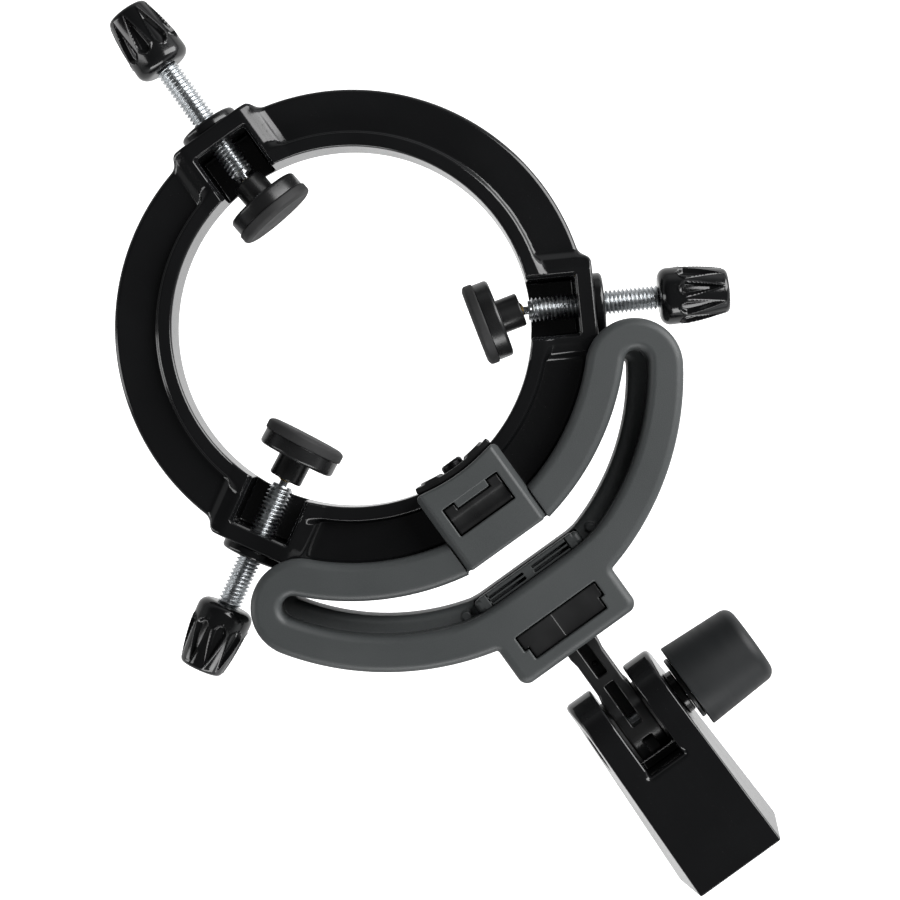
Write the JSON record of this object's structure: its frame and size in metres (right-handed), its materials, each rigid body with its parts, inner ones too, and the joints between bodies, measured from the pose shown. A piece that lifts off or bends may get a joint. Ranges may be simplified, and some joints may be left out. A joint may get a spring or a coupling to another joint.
{
  "type": "three-screw ring holder",
  "caption": "Ring clamp with swivel-pad thumbscrews on a slotted crescent yoke, tilting on a knob-locked clevis block with a spigot socket.",
  "frame": {"origin": "centre of the ring, at half the ring's depth", "axes": "+Z along the ring's axis towards its front, -Y from the ring towards the hinge and the block, +X towards the hinge knob"},
  "size_m": [0.1614, 0.2524, 0.0281],
  "materials": {
    "gloss_black": "polished moulded surface",
    "satin_grey": "fine spark-eroded texture",
    "satin_knob": "smooth satin",
    "moulded_black": "semi-gloss moulded",
    "pad_black": "semi-gloss moulded",
    "pad_rubber": "matte",
    "zinc_steel": "bright zinc plate",
    "black_screw": "black oxide",
    "washer_polymer": "plain acetal",
    "brass_insert": "plain"
  },
  "bodies": {
    "clamp_block": {"clevis_block": "gloss_black", "hinge_bolt": "zinc_steel", "spigot_screw": "black_screw"},
    "ring_frame": {"ring": "gloss_black", "bush_top": "gloss_black", "bush_left": "gloss_black", "bush_right": "gloss_black", "yoke_shell": "satin_grey", "yoke_frame": "satin_grey", "slot_grille": "satin_grey", "clip_cover": "satin_grey", "clip_latch": "moulded_black", "clip_saddle": "moulded_black", "saddle_screw": "black_screw", "shell_screws": "zinc_steel", "arm": "moulded_black", "arm_screws": "zinc_steel", "friction_washers": "washer_polymer"},
    "knob_washer": {"thrust_washer": "moulded_black"},
    "hinge_knob": {"hinge_knob": "satin_knob", "knob_insert": "brass_insert"},
    "ball_top": {"swivel_ball_top": "brass_insert"},
    "screw_top": {"screw_rod_top": "zinc_steel", "thumb_knob_top": "gloss_black"},
    "pad_top": {"pad_top": "pad_black", "pad_facing_top": "pad_rubber"},
    "ball_left": {"swivel_ball_left": "brass_insert"},
    "screw_left": {"screw_rod_left": "zinc_steel", "thumb_knob_left": "gloss_black"},
    "pad_left": {"pad_left": "pad_black", "pad_facing_left": "pad_rubber"},
    "ball_right": {"swivel_ball_right": "brass_insert"},
    "screw_right": {"screw_rod_right": "zinc_steel", "thumb_knob_right": "gloss_black"},
    "pad_right": {"pad_right": "pad_black", "pad_facing_right": "pad_rubber"}
  },
  "joints": [
    {"name": "frame_tilt", "type": "hinge", "parent": "clamp_block", "child": "ring_frame", "pos_m": [0, -0.1172, 0], "axis": [1, 0, 0], "range_deg": [-90, 90]},
    {"name": "knob_travel", "type": "slide", "parent": "clamp_block", "child": "knob_washer", "axis": [1, 0, 0], "range_m": [0, 0.001]},
    {"name": "knob_turn", "type": "hinge", "parent": "knob_washer", "child": "hinge_knob", "pos_m": [0, -0.1172, 0], "axis": [1, 0, 0], "range_deg": [-1, 361]},
    {"name": "screw_travel_top", "type": "slide", "parent": "ring_frame", "child": "ball_top", "axis": [0, 1, 0], "range_m": [-0.0155, 0.0003]},
    {"name": "screw_turn_top", "type": "hinge", "parent": "ball_top", "child": "screw_top", "pos_m": [0, 0.042, 0], "axis": [0, 1, 0], "range_deg": [-5581, 109]},
    {"name": "pad_swivel_top", "type": "hinge", "parent": "ball_top", "child": "pad_top", "pos_m": [0, 0.042, 0], "axis": [0, 0, 1], "range_deg": [-22, 12]},
    {"name": "screw_travel_left", "type": "slide", "parent": "ring_frame", "child": "ball_left", "axis": [-0.866, -0.5, 0], "range_m": [-0.0117, 0.0041]},
    {"name": "screw_turn_left", "type": "hinge", "parent": "ball_left", "child": "screw_left", "pos_m": [-0.03308, -0.0191, 0], "axis": [-0.866, -0.5, 0], "range_deg": [-4213, 1477]},
    {"name": "pad_swivel_left", "type": "hinge", "parent": "ball_left", "child": "pad_left", "pos_m": [-0.03308, -0.0191, 0], "axis": [0, 0, 1], "range_deg": [-13.6, 20.4]},
    {"name": "screw_travel_right", "type": "slide", "parent": "ring_frame", "child": "ball_right", "axis": [0.866, -0.5, 0], "range_m": [-0.0124, 0.0034]},
    {"name": "screw_turn_right", "type": "hinge", "parent": "ball_right", "child": "screw_right", "pos_m": [0.03369, -0.01945, 0], "axis": [0.866, -0.5, 0], "range_deg": [-4465, 1225]},
    {"name": "pad_swivel_right", "type": "hinge", "parent": "ball_right", "child": "pad_right", "pos_m": [0.03369, -0.01945, 0], "axis": [0, 0, 1], "range_deg": [-32.4, 1.6]}
  ],
  "couplings": [
    {"joint": "knob_turn", "follows": "knob_travel", "rad_per_m": 6283.2},
    {"joint": "screw_turn_top", "follows": "screw_travel_top", "rad_per_m": 6283.2},
    {"joint": "screw_turn_left", "follows": "screw_travel_left", "rad_per_m": 6283.2},
    {"joint": "screw_turn_right", "follows": "screw_travel_right", "rad_per_m": 6283.2}
  ]
}
